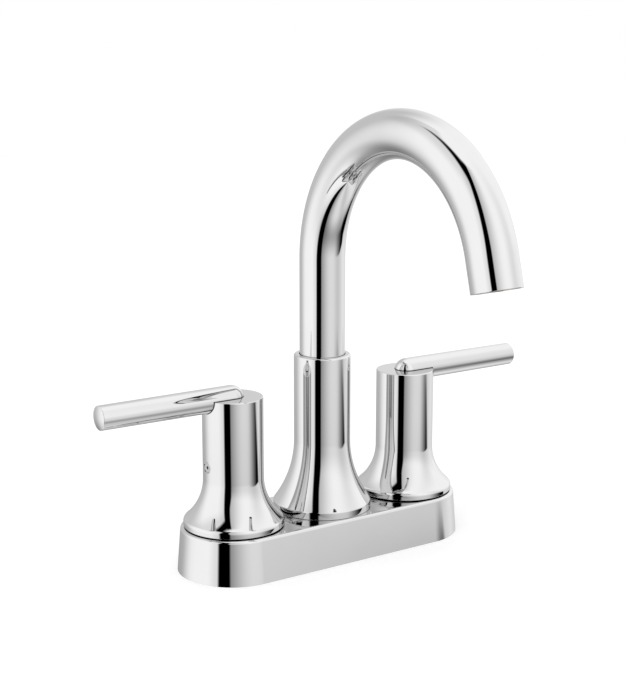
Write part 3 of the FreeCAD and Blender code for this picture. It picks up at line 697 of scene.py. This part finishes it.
class TAP_OT_base_cover(bpy.types.Operator):
    """Model the long oval cover: one end is spun, run to the middle, mirrored and bored"""

    bl_idname = "tap.base_cover"
    bl_label = "Base Cover"
    bl_options = {"REGISTER", "UNDO"}

    def execute(self, context):
        sizes = context.scene.tap_cover
        height = cover_high.z
        lean = math.tan(sizes.draft)
        centre_height = height - sizes.edge_radius
        centre_out = sizes.foot_radius - centre_height * lean - sizes.edge_radius / math.cos(sizes.draft)
        inner_foot = sizes.foot_radius - sizes.wall
        roof = height - sizes.wall
        inner_lean = lean * height / roof
        pen = Pen("base_cover", (0, height), (HALF_SPACING, 0, 0), -DEPTH)
        pen.lines((centre_out, height))
        pen.arc((centre_out, centre_height), sizes.draft - RIGHT_ANGLE, sizes.edge_steps)
        pen.lines(
            (sizes.foot_radius, 0),
            (inner_foot + sizes.ledge_width, 0),
            (inner_foot + sizes.ledge_width, sizes.ledge_height),
            (inner_foot - sizes.ledge_height * inner_lean, sizes.ledge_height),
            (inner_foot - roof * inner_lean, roof),
            (0, roof),
        )
        pen.turn(sizes.end_steps, HALF_TURN)
        cover = pen.finish()
        edit(cover)
        select_points(cover, lambda point: abs(point.x - HALF_SPACING) < TOUCHING)
        draw_out((-HALF_SPACING, 0, 0))
        apply_modifier(cover, "MIRROR", use_mirror_merge=True, merge_threshold=TOUCHING)
        close_and_face_out(cover)
        holes = ((-HALF_SPACING, sizes.neck_hole), (0, sizes.post_hole), (HALF_SPACING, sizes.neck_hole))
        for x, radius in holes:
            hole = cutter(radius, (x, 0, roof / 2), (x, 0, height + roof / 2))
            combine(cover, hole, "DIFFERENCE")
        smooth(cover)
        coat(cover, "polished_chrome")
        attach(cover, "faucet_body")
        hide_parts("escutcheon")
        return {"FINISHED"}


class TAP_OT_lever_handles(bpy.types.Operator):
    """Model one handle, a turned barrel with its lever and screw hole, and place a copy at each end"""

    bl_idname = "tap.lever_handles"
    bl_label = "Lever Handles"
    bl_options = {"REGISTER", "UNDO"}

    def barrel(self, sizes):
        """The flared barrel, hollow below, round the Z axis."""
        top = handle_barrel_top()
        foot = handle_low.z
        inner_barrel = sizes.barrel_radius - sizes.wall
        inner_flange = sizes.flange_radius - sizes.wall
        inner_curve = sizes.flare_radius + sizes.wall
        hollow = Flare(inner_barrel, inner_flange, inner_curve, sizes.inner_lip, sizes.flare_top)
        pen = Pen("lever_handle", (0, top))
        draw_flared_side(pen, sizes, top, foot)
        pen.lines((inner_flange, foot), (inner_flange, hollow.lip_height))
        hollow.up(pen, sizes.inner_flare_steps, sizes.skirt_steps)
        pen.lines(
            (inner_barrel, sizes.cavity_top),
            (sizes.stem_bore, sizes.cavity_top),
            (sizes.stem_bore, sizes.stem_top),
            (0, sizes.stem_top),
        )
        pen.turn(sizes.turn_steps)
        return pen.finish()

    def lever(self, sizes):
        """The round lever, with a ball end over the barrel and a slightly domed tip."""
        rim = sizes.tip_radius - sizes.tip_edge
        rim_start = sizes.lever_length - sizes.tip_edge
        dome = (rim ** 2 + sizes.tip_dome ** 2) / (2 * sizes.tip_dome)
        dome_centre = (0, sizes.lever_length + sizes.tip_dome - dome)
        pen = Pen("lever", (0, -sizes.lever_overrun), (0, 0, sizes.lever_height), UP, ACROSS)
        pen.arc((0, sizes.root_radius - sizes.lever_overrun), RIGHT_ANGLE, sizes.ball_steps)
        pen.lines((sizes.tip_radius, rim_start))
        pen.arc((rim, rim_start), RIGHT_ANGLE, sizes.edge_steps)
        pen.arc(dome_centre, math.asin(rim / dome), sizes.dome_steps)
        pen.turn(sizes.lever_steps)
        return pen.finish()

    def execute(self, context):
        sizes = context.scene.tap_handle
        handle = self.barrel(sizes)
        combine(handle, self.lever(sizes), "UNION")
        screw_start = (0, 0, sizes.screw_height)
        screw_end = (sizes.recess_start + sizes.wall, 0, sizes.screw_height)
        combine(handle, cutter(sizes.screw_hole, screw_start, screw_end), "DIFFERENCE")
        recess_start = (sizes.recess_start, 0, sizes.screw_height)
        recess_end = (sizes.flange_radius, 0, sizes.screw_height)
        combine(handle, cutter(sizes.recess_radius, recess_start, recess_end), "DIFFERENCE")
        smooth(handle)
        coat(handle, "handle_chrome")
        place_in_both_handles(handle, "lever_handle", "handle")
        return {"FINISHED"}


class TAP_OT_grub_screws(bpy.types.Operator):
    """Model a grub screw, chamfered and with a hexagonal socket, and place a copy in each handle"""

    bl_idname = "tap.grub_screws"
    bl_label = "Grub Screws"
    bl_options = {"REGISTER", "UNDO"}

    def execute(self, context):
        sizes = context.scene.tap_handle
        start = sizes.stem_bore
        end = sizes.screw_end
        point = sizes.screw_radius - sizes.screw_edge
        pen = Pen("grub_screw", (0, start), (0, 0, sizes.screw_height), UP, ACROSS)
        pen.lines(
            (point, start),
            (sizes.screw_radius, start + sizes.screw_edge),
            (sizes.screw_radius, end - sizes.screw_edge),
            (point, end),
            (0, end),
        )
        pen.turn(sizes.screw_steps)
        screw = pen.finish()
        drop_selection()
        bpy.ops.mesh.primitive_cylinder_add(
            vertices=6, radius=sizes.key_width / math.sqrt(3), depth=2 * sizes.key_depth,
            location=(end, 0, sizes.screw_height), rotation=(0, RIGHT_ANGLE, 0))
        combine(screw, bpy.context.object, "DIFFERENCE")
        smooth(screw)
        coat(screw, "screw_steel")
        place_in_both_handles(screw, "grub_screw", "set_screw")
        return {"FINISHED"}


def place_in_both_handles(piece, name, node):
    """Places a piece of the handle in the cold handle, and a copy of it, turned round, in the hot one."""
    take(piece)
    bpy.ops.object.duplicate()
    twin = bpy.context.object
    for one, side, turn, body in (
        (piece, 1, 0, "cold"),
        (twin, -1, HALF_TURN, "hot"),
    ):
        place(one, (0, 0, turn), (side * HALF_SPACING, 0, 0))
        one.name = body + "_" + name
        one.data.name = one.name
        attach(one, body + "_lever_set")
        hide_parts(body + "_" + node)


def handle_barrel_top():
    """Height of the barrels' flat tops. The ball ends of the levers stand above them."""
    return handle_high.z - bpy.context.scene.tap_handle.ball_rise


class TAP_OT_spout_hub(bpy.types.Operator):
    """Model the flared hub, a sleeve turned in one piece with its stepped bore"""

    bl_idname = "tap.spout_hub"
    bl_label = "Spout Hub"
    bl_options = {"REGISTER", "UNDO"}

    def execute(self, context):
        sizes = context.scene.tap_hub
        top = hub_high.z
        foot = hub_low.z
        pen = Pen("flared_hub", (sizes.lip_bore, top))
        draw_flared_side(pen, sizes, top, foot)
        pen.lines(
            (sizes.nut_bore, foot),
            (sizes.nut_bore, sizes.nut_top),
            (sizes.sleeve_bore, sizes.nut_top),
            (sizes.sleeve_bore, sizes.thrust_height),
            (sizes.bushing_bore, sizes.thrust_height),
            (sizes.bushing_bore, sizes.lip_bottom),
            (sizes.lip_bore, sizes.lip_bottom),
            (sizes.lip_bore, top),
        )
        pen.turn(sizes.turn_steps)
        hub = pen.finish()
        smooth(hub)
        coat(hub, "polished_chrome")
        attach(hub, "faucet_body")
        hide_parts("spout_hub")
        return {"FINISHED"}


class TAP_OT_spout_tube(bpy.types.Operator):
    """Model the gooseneck: a ring is drawn up, spun over the bend, drawn out and given its wall"""

    bl_idname = "tap.spout_tube"
    bl_label = "Spout Tube"
    bl_options = {"REGISTER", "UNDO"}

    def execute(self, context):
        sizes = context.scene.tap_spout
        riser_top = tube_riser_top(sizes)
        drop_selection()
        bpy.ops.mesh.primitive_circle_add(
            vertices=sizes.turn_steps, radius=sizes.tube_radius, location=(0, 0, tube_low.z))
        bpy.ops.object.transform_apply(location=True, rotation=False, scale=False)
        tube = bpy.context.object
        tube.name = "gooseneck"
        tube.data.name = "gooseneck"
        bpy.ops.object.mode_set(mode="EDIT")
        bpy.ops.mesh.select_all(action="SELECT")
        draw_out(UP * (riser_top - tube_low.z))
        spin(Vector((0, -sizes.bend_radius, riser_top)), ACROSS, sizes.bend, sizes.bend_steps)
        way_out = outlet_direction(sizes)
        draw_out(way_out * sizes.outlet_length)
        close_and_face_out(tube)
        apply_modifier(tube, "SOLIDIFY", thickness=sizes.tube_wall, offset=-1, use_even_offset=True)
        mouth = outlet_centre(sizes)
        edit(tube)
        select_points(tube, lambda point: (point - mouth).dot(way_out) > -TOUCHING)
        bpy.ops.mesh.bevel(
            offset=sizes.mouth_edge, offset_type="OFFSET", segments=sizes.edge_steps, affect="EDGES")
        smooth(tube)
        coat(tube, "polished_chrome")
        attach(tube, "spout_set")
        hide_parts("spout_tube")
        return {"FINISHED"}


def tube_riser_top(sizes):
    """Height where the upright tube goes over into the bend."""
    return tube_high.z - sizes.tube_radius - sizes.bend_radius


def outlet_direction(sizes):
    """Direction of the water at the outlet."""
    return Vector((0, -math.sin(sizes.bend), math.cos(sizes.bend)))


def outlet_centre(sizes):
    """Centre of the outlet's end face."""
    out = sizes.bend_radius
    depth = out * math.cos(sizes.bend) - out
    height = tube_riser_top(sizes) + out * math.sin(sizes.bend)
    return Vector((0, depth, height)) + outlet_direction(sizes) * sizes.outlet_length


class TAP_OT_aerator_cup(bpy.types.Operator):
    """Model the aerator's cup: a turned ring with a lip, notched for its key, and set in the outlet"""

    bl_idname = "tap.aerator_cup"
    bl_label = "Aerator Cup"
    bl_options = {"REGISTER", "UNDO"}

    def execute(self, context):
        sizes = context.scene.tap_spout
        outer = sizes.aerator_radius
        inner = outer - sizes.aerator_wall
        bottom = sizes.aerator_inset
        lip_top = bottom + sizes.aerator_wall
        edge = sizes.aerator_wall / 4
        just_through = 1.01 * sizes.aerator_wall
        pen = Pen("aerator_cup", (sizes.mouth_radius, lip_top))
        pen.lines((sizes.mouth_radius, bottom + edge))
        pen.arc((sizes.mouth_radius + edge, bottom + edge), RIGHT_ANGLE, sizes.edge_steps)
        pen.lines((outer - edge, bottom))
        pen.arc((outer - edge, bottom + edge), RIGHT_ANGLE, sizes.edge_steps)
        pen.lines(
            (outer, bottom + sizes.aerator_length),
            (inner, bottom + sizes.aerator_length),
            (inner, lip_top),
            (sizes.mouth_radius, lip_top),
        )
        pen.turn(ROUND_STEPS)
        cup = pen.finish()
        reach = sizes.mouth_radius + sizes.notch_depth
        for along, across in ((reach, sizes.notch_width / 2), (sizes.notch_width / 2, reach)):
            drop_selection()
            bpy.ops.mesh.primitive_cube_add(size=2, location=(0, 0, bottom))
            notch = bpy.context.object
            notch.scale = (along, across, just_through)
            bpy.ops.object.transform_apply(location=True, rotation=True, scale=True)
            combine(cup, notch, "DIFFERENCE")
        smooth(cup)
        place(cup, (sizes.bend - HALF_TURN, 0, 0), outlet_centre(sizes))
        coat(cup, "aerator_chrome")
        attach(cup, "spout_set")
        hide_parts("aerator_housing")
        return {"FINISHED"}


def coat_nodes(slot, *nodes):
    """Gives solids of the frame the finish of one of the record's slots."""
    for node in nodes:
        coat(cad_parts[node], slot)


class TAP_OT_brasswork(bpy.types.Operator):
    """Finish the brass bodies, nuts, stems and post, and the copper pipes between them"""

    bl_idname = "tap.brasswork"
    bl_label = "Brasswork"
    bl_options = {"REGISTER", "UNDO"}

    def execute(self, context):
        coat_nodes(
            "turned_brass", "hot_valve_body", "cold_valve_body", "spout_post", "hub_nut", "cover_lock_nuts",
            "bonnet_nuts", "hot_stem", "cold_stem", "hot_cartridge_housing", "cold_cartridge_housing",
            "spout_collar", "outlet_ring")
        coat_nodes("copper_pipe", "hot_cross_pipe", "cold_cross_pipe")
        return {"FINISHED"}


class TAP_OT_seals(bpy.types.Operator):
    """Finish the ceramic discs, the rubber seals, the plastic rings and the foam gasket"""

    bl_idname = "tap.seals"
    bl_label = "Discs and Seals"
    bl_options = {"REGISTER", "UNDO"}

    def execute(self, context):
        coat_nodes(
            "fired_ceramic", "hot_fixed_disc", "cold_fixed_disc", "hot_moving_disc", "cold_moving_disc")
        coat_nodes(
            "black_rubber", "hot_seat_seal", "cold_seat_seal", "hot_stem_ring", "cold_stem_ring",
            "spout_seal_rings", "aerator_washer")
        coat_nodes(
            "white_plastic", "spout_glide_ring", "spout_foot_washer", "spout_thrust_washer",
            "spout_bushing", "mixing_chamber", "flow_regulator")
        coat_nodes("grey_foam", "base_gasket")
        return {"FINISHED"}


class TAP_OT_fastenings(bpy.types.Operator):
    """Finish the nuts and washers under the deck and the aerator's grid"""

    bl_idname = "tap.fastenings"
    bl_label = "Fastenings"
    bl_options = {"REGISTER", "UNDO"}

    def execute(self, context):
        coat_nodes("black_plastic", "mounting_nuts", "aerator_grid")
        coat_nodes("steel_washer", "mounting_washers")
        return {"FINISHED"}


class TAP_OT_studio(bpy.types.Operator):
    """Set up the pale floor, the white room with its dark screens, the soft lamp and the camera"""

    bl_idname = "tap.studio"
    bl_label = "Studio"
    bl_options = {"REGISTER", "UNDO"}

    def floor(self, settings):
        """Round slab whose top is the deck. Metal sees the room below it instead."""
        drop_selection()
        bpy.ops.mesh.primitive_circle_add(
            vertices=ROUND_STEPS, radius=settings.floor_radius, fill_type="NGON")
        floor = bpy.context.object
        floor.name = "pale_floor"
        edit(floor)
        bpy.ops.mesh.select_all(action="SELECT")
        draw_out((0, 0, -settings.floor_thickness))
        close_and_face_out(floor)
        material = bpy.data.materials.new("pale_floor")
        graph = Graph(material)
        position = graph.add("ShaderNodeTexCoord").out("Object")
        grain = graph.noise(position, settings.floor_grain_size, detail=2)
        paint = graph.mix(grain, settings.floor_colour, settings.floor_grain)
        camera_ray = graph.add("ShaderNodeLightPath").out("Is Camera Ray")
        plain = graph.add("ShaderNodeBsdfDiffuse", None, {"Color": paint})
        glow = graph.add("ShaderNodeEmission", None, {"Strength": settings.floor_glow * camera_ray})
        both = graph.add("ShaderNodeAddShader", None, {0: plain, 1: glow})
        graph.add("ShaderNodeOutputMaterial", None, {"Surface": both})
        floor.data.materials.append(material)
        floor.visible_glossy = False

    def mirrored_light(self, graph):
        """Share of full light that metal sees in each direction: a white room with dark screens.

        Angles are in degrees. Front counts from the front and back from behind, both towards the right,
        and rise from level upwards. Other numbers are shares of light. All are fitted to what the metal
        mirrors in the photograph.
        """
        fade = graph.fade
        band = graph.band
        x, y, z = graph.parts(graph.add("ShaderNodeTexCoord").out("Generated"))
        degrees = math.degrees(1)
        front = degrees * x.math("ARCTAN2", x, -y)
        back = degrees * x.math("ARCTAN2", x, y)
        rise = degrees * z.math("ARCSINE", z)

        # Left of the upright dark screen the room is lit, a little less high up
        left = 0.82 * fade(front, -61.2, -67) + 0.18 * fade(front, -67, -88)
        left = left * (1 - 0.22 * fade(rise, 29, 56))

        # Right of it the light grows towards the right, and starts darker low down than high up
        to_right = fade(front, -66, 9)
        far_right = 0.09 * fade(front, 70, 95) + 0.2 * fade(front, 100, 135)
        toward_back = fade(front, 150, 180)
        level_right = 0.12 * fade(rise, -9, -3) * fade(front, 90, 98) * (1 - toward_back)
        right_low = 0.08 + 0.7 * to_right + far_right + level_right - 0.07 * toward_back
        right_high = 0.37 + 0.62 * to_right
        low = fade(rise, 16, -11)
        right = low * right_low + (1 - low) * right_high

        # The screen's right edge leans, and over its top the room is fully lit
        lean = 4.7 * fade(rise, 2, 35)
        beside_screen = left + fade(front + lean, -41.5, -37) * right
        over_screen = fade(rise, 70.5, 77)
        light = over_screen + (1 - over_screen) * beside_screen

        # A dark bar overhead. Off bar is the sine of the angle from the bar's middle line
        off_bar = 0.9 * x - 0.225 * y + 0.365 * z
        across_bar = abs(degrees * off_bar.math("ARCSINE", off_bar))
        bar_half_width = 12.8 + 0.074 * front
        bar_run = fade(front, -160, -143) * fade(front, -42, -52) * fade(rise, 20, 40)
        bar = bar_run * fade(across_bar - bar_half_width, 3.3, -3.3)

        # Broad soft shades: behind, in front, a band below level, and the floor behind
        behind = band(back, 4, 14, 57) * fade(rise, 68, 38)
        front_card = band(front, 49, 0, 33) * fade(rise, 90, -10)
        beside_left = fade(front, -60, -75) * fade(front, -175, -140)
        low_band = (0.48 - 0.32 * beside_left) * band(rise, -32, 0, 21)
        floor_behind = band(back, 13, 34, 81) * fade(rise, 15, -67)

        # A dark card low on the right, whose top slopes down and steps, and a shade past its end
        card_slope = 0.1 * front.past(50) + 0.13 * front.past(60) + 0.2 * front.past(92)
        card_top = rise + 12.3 + card_slope + 4 * fade(front, 78, 81)
        card_foot = rise + 32 + 4.6 * fade(front, 56, 74)
        card_height = fade(card_top, 1.3, -1.3) * fade(card_foot, -4.3, 4.3)
        card = card_height * fade(front, 25, 68) * fade(front, 138, 118)
        past_card = band(front, 140, 12, 45) * band(rise, -8, 8, 22)

        for share, shade in (
            (1, bar),
            (0.41, behind),
            (0.21, front_card),
            (1, low_band),
            (0.47, floor_behind),
            (1, card),
            (0.15, past_card),
        ):
            light = light * (1 - share * shade)
        return light

    def room(self, settings):
        """White to the camera, plain grey light to dull surfaces, and the room with its screens to metal."""
        world = bpy.data.worlds.new("white_room")
        bpy.context.scene.world = world
        graph = Graph(world)
        path = graph.add("ShaderNodeLightPath")
        metal_sees = path.out("Is Glossy Ray")
        camera_sees = path.out("Is Camera Ray")
        # The ray depth is 2 at the first mirroring
        light = self.mirrored_light(graph) * settings.second_look ** (path.out("Ray Depth") - 2)
        seen = metal_sees * light + (1 - metal_sees) * settings.room_level
        strength = camera_sees + (1 - camera_sees) * seen
        white = graph.add("ShaderNodeBackground", None, {"Color": (1, 1, 1, 1), "Strength": strength})
        graph.add("ShaderNodeOutputWorld", None, {"Surface": white})

    def lamp(self, settings):
        """One wide soft lamp, high on the left, that metal doesn't show."""
        bpy.ops.object.light_add(type="SUN", location=settings.lamp_place)
        lamp = bpy.context.object
        lamp.name = "soft_lamp"
        lamp.data.energy = settings.sun_level
        lamp.data.angle = settings.sun_spread
        aim = Vector(settings.lamp_aim) - Vector(settings.lamp_place)
        lamp.rotation_euler = aim.to_track_quat("-Z", "Y").to_euler()
        lamp.visible_glossy = False

    def camera(self, settings):
        """Camera at the photograph's angle."""
        bpy.ops.object.camera_add(location=settings.camera_place)
        camera = bpy.context.object
        camera.name = "photo_camera"
        camera.data.lens = settings.lens
        aim = Vector(settings.camera_aim) - Vector(settings.camera_place)
        camera.rotation_euler = aim.to_track_quat("-Z", "Y").to_euler()
        bpy.context.scene.camera = camera

    def execute(self, context):
        settings = context.scene.tap_studio
        self.floor(settings)
        self.room(settings)
        drop_selection()
        self.lamp(settings)
        self.camera(settings)
        context.scene.view_settings.view_transform = "Standard"
        return {"FINISHED"}


class TAP_PT_panel(bpy.types.Panel):
    """Lists the steps in the order in which they are run."""

    bl_idname = "TAP_PT_panel"
    bl_label = "Basin Tap"
    bl_space_type = "VIEW_3D"
    bl_region_type = "UI"
    bl_category = "Basin Tap"

    def draw(self, context):
        column = self.layout.column(align=True)
        for step in STEPS:
            column.operator(step.bl_idname)


SETTINGS = {
    "tap_cover": CoverSizes,
    "tap_handle": HandleSizes,
    "tap_hub": HubSizes,
    "tap_spout": SpoutSizes,
    "tap_colours": FinishColours,
    "tap_studio": StudioSettings,
}

STEPS = (
    TAP_OT_base_cover,
    TAP_OT_lever_handles,
    TAP_OT_grub_screws,
    TAP_OT_spout_hub,
    TAP_OT_spout_tube,
    TAP_OT_aerator_cup,
    TAP_OT_brasswork,
    TAP_OT_seals,
    TAP_OT_fastenings,
    TAP_OT_studio,
)


def register():
    for group in SETTINGS.values():
        bpy.utils.register_class(group)
    for step in (*STEPS, TAP_PT_panel):
        bpy.utils.register_class(step)
    for name, group in SETTINGS.items():
        setattr(bpy.types.Scene, name, PointerProperty(type=group))


def unregister():
    for name in SETTINGS:
        delattr(bpy.types.Scene, name)
    for kind in (TAP_PT_panel, *reversed(STEPS), *SETTINGS.values()):
        bpy.utils.unregister_class(kind)


def main():
    """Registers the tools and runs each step."""
    register()
    bpy.ops.tap.base_cover()
    bpy.ops.tap.lever_handles()
    bpy.ops.tap.grub_screws()
    bpy.ops.tap.spout_hub()
    bpy.ops.tap.spout_tube()
    bpy.ops.tap.aerator_cup()
    bpy.ops.tap.brasswork()
    bpy.ops.tap.seals()
    bpy.ops.tap.fastenings()
    bpy.ops.tap.studio()
    drop_selection()


if __name__ == "__main__":
    main()
